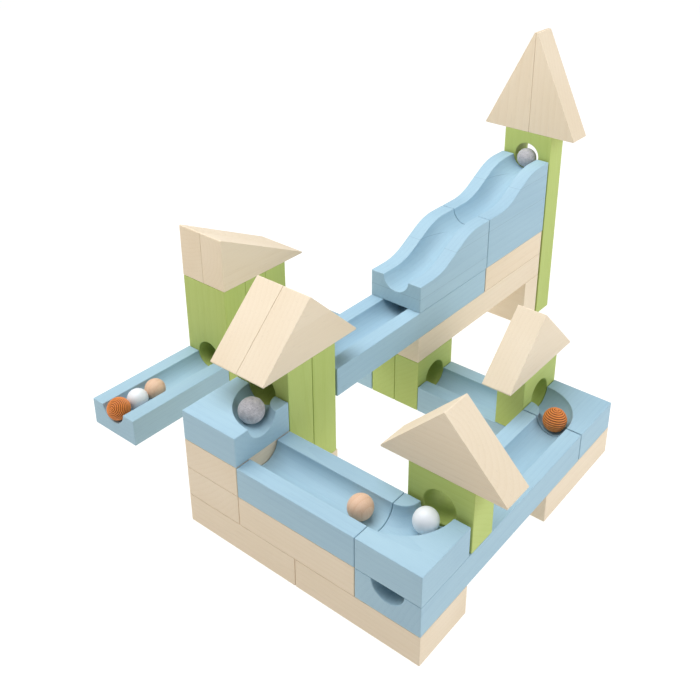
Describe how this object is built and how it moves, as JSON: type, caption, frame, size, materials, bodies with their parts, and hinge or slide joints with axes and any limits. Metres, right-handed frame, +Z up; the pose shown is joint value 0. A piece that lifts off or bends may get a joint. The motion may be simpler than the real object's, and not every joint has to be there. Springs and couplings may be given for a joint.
{
  "type": "marble run",
  "caption": "Stacked wooden marble run: grooved track blocks, sloping wave blocks, upright tunnel blocks, planks, loose triangular roofs and small balls.",
  "frame": {"origin": "centre of the whole object's bounding box, on the surface that it stands on", "axes": "+X along the front row towards the right arm, +Y from the front row towards the tall column, +Z up"},
  "size_m": [0.5202, 0.6008, 0.396],
  "materials": {
    "natural_wood": "sanded, unpainted",
    "blue_wood": "matt water stain",
    "green_wood": "matt water stain",
    "ball_wood": "sanded and waxed",
    "white_lacquer": "smooth satin lacquer",
    "ribbed_orange": "turned with fine ring grooves, satin",
    "felt": "dense grey wool felt"
  },
  "bodies": {
    "blocks": {"base_plank_front_left": "natural_wood", "base_plank_front_right": "natural_wood", "tower_base_block": "natural_wood", "end_block_lower": "natural_wood", "end_block_upper": "natural_wood", "middle_plank": "natural_wood", "right_arm_plank": "natural_wood", "rear_beam": "natural_wood", "rear_beam_post": "natural_wood", "upper_rear_block": "natural_wood", "upper_wave_track": "blue_wood", "lower_wave_track": "blue_wood", "upper_long_track": "blue_wood", "turn_corner_track": "blue_wood", "front_straight_track": "blue_wood", "front_corner_track": "blue_wood", "right_long_track": "blue_wood", "rear_right_corner_track": "blue_wood", "rear_straight_track": "blue_wood", "ground_straight_track": "blue_wood", "rear_left_corner_track": "blue_wood", "catch_track": "blue_wood", "tall_column": "green_wood", "middle_tower_front": "green_wood", "rear_gate_left": "green_wood", "middle_tower_rear": "green_wood", "rear_gate_right": "green_wood", "left_tower_front": "green_wood", "left_tower_middle": "green_wood", "left_tower_rear": "green_wood", "front_house": "green_wood", "right_house": "green_wood"},
    "middle_tower_roof_left_body": {"middle_tower_roof_left": "natural_wood"},
    "left_tower_roof_left_body": {"left_tower_roof_left": "natural_wood"},
    "middle_tower_roof_right_body": {"middle_tower_roof_right": "natural_wood"},
    "left_tower_roof_right_body": {"left_tower_roof_right": "natural_wood"},
    "right_house_roof_body": {"right_house_roof": "natural_wood"},
    "front_house_roof_body": {"front_house_roof": "natural_wood"},
    "column_roof_right_body": {"column_roof_right": "natural_wood"},
    "column_roof_left_body": {"column_roof_left": "natural_wood"},
    "ball_felt_top_body": {"ball_felt_top": "felt"},
    "ball_felt_turn_body": {"ball_felt_turn": "felt"},
    "ball_wood_front_body": {"ball_wood_front": "ball_wood"},
    "ball_white_corner_body": {"ball_white_corner": "white_lacquer"},
    "ball_ribbed_corner_body": {"ball_ribbed_corner": "ribbed_orange"},
    "ball_wood_catch_body": {"ball_wood_catch": "ball_wood"},
    "ball_white_catch_body": {"ball_white_catch": "white_lacquer"},
    "ball_ribbed_catch_body": {"ball_ribbed_catch": "ribbed_orange"}
  },
  "joints": [
    {"name": "middle_tower_roof_left_lift", "type": "slide", "parent": "blocks", "child": "middle_tower_roof_left_body", "axis": [0, 0, 1], "range_m": [0, 0.025]},
    {"name": "left_tower_roof_left_lift", "type": "slide", "parent": "blocks", "child": "left_tower_roof_left_body", "axis": [0, 0, 1], "range_m": [0, 0.025]},
    {"name": "middle_tower_roof_right_lift", "type": "slide", "parent": "blocks", "child": "middle_tower_roof_right_body", "axis": [0, 0, 1], "range_m": [0, 0.025]},
    {"name": "left_tower_roof_right_lift", "type": "slide", "parent": "blocks", "child": "left_tower_roof_right_body", "axis": [0, 0, 1], "range_m": [0, 0.025]},
    {"name": "right_house_roof_lift", "type": "slide", "parent": "blocks", "child": "right_house_roof_body", "axis": [0, 0, 1], "range_m": [0, 0.025]},
    {"name": "front_house_roof_lift", "type": "slide", "parent": "blocks", "child": "front_house_roof_body", "axis": [0, 0, 1], "range_m": [0, 0.025]},
    {"name": "column_roof_right_lift", "type": "slide", "parent": "blocks", "child": "column_roof_right_body", "axis": [0, 0, 1], "range_m": [0, 0.025]},
    {"name": "column_roof_left_lift", "type": "slide", "parent": "blocks", "child": "column_roof_left_body", "axis": [0, 0, 1], "range_m": [0, 0.025]},
    {"name": "top_ball_roll", "type": "slide", "parent": "blocks", "child": "ball_felt_top_body", "axis": [0, 1, 0], "range_m": [-0.02, 0.02]},
    {"name": "turn_ball_roll", "type": "hinge", "parent": "blocks", "child": "ball_felt_turn_body", "pos_m": [0.01886, -0.23042, 0.132], "axis": [0, 0, 1], "range_deg": [-45, 30]},
    {"name": "front_ball_roll", "type": "slide", "parent": "blocks", "child": "ball_wood_front_body", "axis": [1, 0, 0], "range_m": [-0.104, 0.01]},
    {"name": "corner_ball_roll", "type": "hinge", "parent": "blocks", "child": "ball_white_corner_body", "pos_m": [0.15886, -0.23042, 0.099], "axis": [0, 0, 1], "range_deg": [-38, 20]},
    {"name": "rear_corner_ball_roll", "type": "hinge", "parent": "blocks", "child": "ball_ribbed_corner_body", "pos_m": [0.15886, -0.01893, 0.066], "axis": [0, 0, 1], "range_deg": [-10, 72]},
    {"name": "catch_ball_roll", "type": "slide", "parent": "blocks", "child": "ball_wood_catch_body", "axis": [0, 1, 0], "range_m": [-0.006, 0.15]},
    {"name": "catch_white_ball_roll", "type": "slide", "parent": "blocks", "child": "ball_white_catch_body", "axis": [0, 1, 0], "range_m": [-0.006, 0.15]},
    {"name": "catch_ribbed_ball_roll", "type": "slide", "parent": "blocks", "child": "ball_ribbed_catch_body", "axis": [0, 1, 0], "range_m": [-0.006, 0.15]}
  ],
  "couplings": [
    {"joint": "catch_white_ball_roll", "follows": "catch_ball_roll", "ratio": 1},
    {"joint": "catch_ribbed_ball_roll", "follows": "catch_ball_roll", "ratio": 1}
  ]
}
